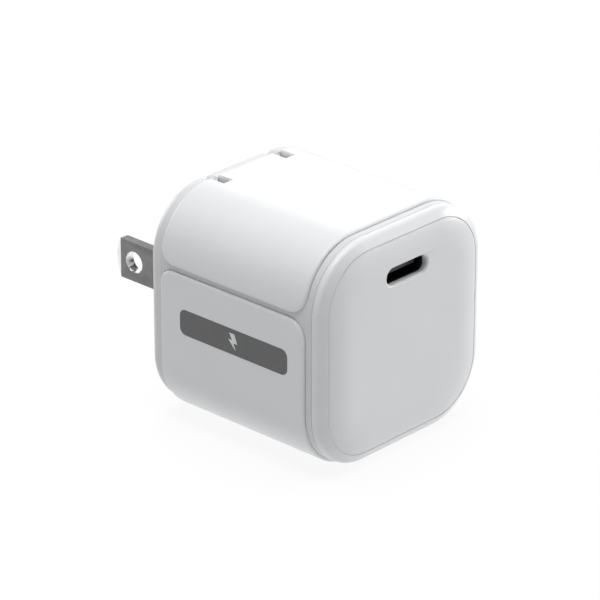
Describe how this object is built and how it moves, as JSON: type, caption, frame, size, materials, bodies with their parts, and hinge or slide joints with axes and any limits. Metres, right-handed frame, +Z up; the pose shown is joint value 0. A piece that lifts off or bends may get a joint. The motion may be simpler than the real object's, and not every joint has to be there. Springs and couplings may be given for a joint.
{
  "type": "usb-c wall charger",
  "caption": "Compact cube wall charger with a USB-C socket in its front and a folding two-blade flat plug at the rear.",
  "frame": {"origin": "centre of the rear face that lies against the wall outlet, midway between the blades at the height of their centre lines", "axes": "+Y out of the rear face along the unfolded blades, +Z up with the USB-C socket in the upper part of the front face, +X to the right when looking at the front"},
  "size_m": [0.0346, 0.0504, 0.0347],
  "materials": {
    "white_gloss_plastic": "glossy white polycarbonate with a very fine moulded texture",
    "white_frame_plastic": "satin-gloss white polycarbonate",
    "carrier_plastic": "matt light grey glass-filled nylon",
    "nickel_plated_brass": "stamped brass with brushed nickel plating",
    "phosphor_bronze": "bare stamped phosphor bronze strip",
    "spring_steel": "bright spring and screw steel",
    "dark_socket_metal": "black-nickel plated stainless sheet",
    "black_plastic": "matt black moulding compound",
    "circuit_board": "green solder mask on glass-epoxy laminate",
    "ferrite": "sintered dark grey ferrite",
    "copper_wire": "enamelled copper wire",
    "yellow_film": "yellow polyester film",
    "silicone_pad": "soft grey thermal silicone",
    "capacitor_sleeve": "black shrink sleeve",
    "capacitor_can": "bare aluminium can",
    "blue_epoxy": "dipped blue epoxy",
    "green_epoxy": "dipped green epoxy",
    "fuse_ceramic": "pale ceramic tube with plated caps",
    "spreader_aluminium": "thin rolled aluminium sheet",
    "insulation_film": "black insulating film"
  },
  "bodies": {
    "charger_body": {"board_header": "black_plastic", "bridge_rectifier": "black_plastic", "bulk_capacitor_front": "capacitor_sleeve", "bulk_capacitor_rear": "capacitor_sleeve", "choke_core": "ferrite", "choke_winding_lower": "copper_wire", "choke_winding_upper": "copper_wire", "detent_spring": "spring_steel", "front_bezel": "white_gloss_plastic", "front_panel": "white_gloss_plastic", "fuse": "fuse_ceramic", "heat_spreader": "spreader_aluminium", "inrush_thermistor": "green_epoxy", "insulation_sheet": "insulation_film", "left_bearing_cap": "carrier_plastic", "left_cap_screw": "spring_steel", "left_contact_spring": "phosphor_bronze", "lower_skin": "white_gloss_plastic", "main_board": "circuit_board", "main_sleeve": "white_frame_plastic", "optocoupler": "black_plastic", "output_capacitor_left": "capacitor_can", "output_capacitor_right": "capacitor_can", "pd_controller_chip": "black_plastic", "power_switch_chip": "black_plastic", "rear_cover": "white_frame_plastic", "rectifier_transistor": "black_plastic", "right_bearing_cap": "carrier_plastic", "right_cap_screw": "spring_steel", "right_contact_spring": "phosphor_bronze", "thermal_pad": "silicone_pad", "transformer_bobbin": "black_plastic", "transformer_core_lower": "ferrite", "transformer_core_upper": "ferrite", "transformer_tape": "yellow_film", "transformer_winding": "copper_wire", "upper_skin": "white_gloss_plastic", "usb_board": "circuit_board", "usb_shell": "dark_socket_metal", "usb_tongue": "black_plastic", "varistor": "blue_epoxy", "x_capacitor": "yellow_film", "y_capacitor": "blue_epoxy"},
    "folding_plug": {"left_blade": "nickel_plated_brass", "right_blade": "nickel_plated_brass", "blade_carrier": "carrier_plastic"}
  },
  "joints": [
    {"name": "blade_fold", "type": "hinge", "parent": "charger_body", "child": "folding_plug", "pos_m": [0, -0.0017, -0.0015], "axis": [1, 0, 0], "range_deg": [0, 90]}
  ]
}
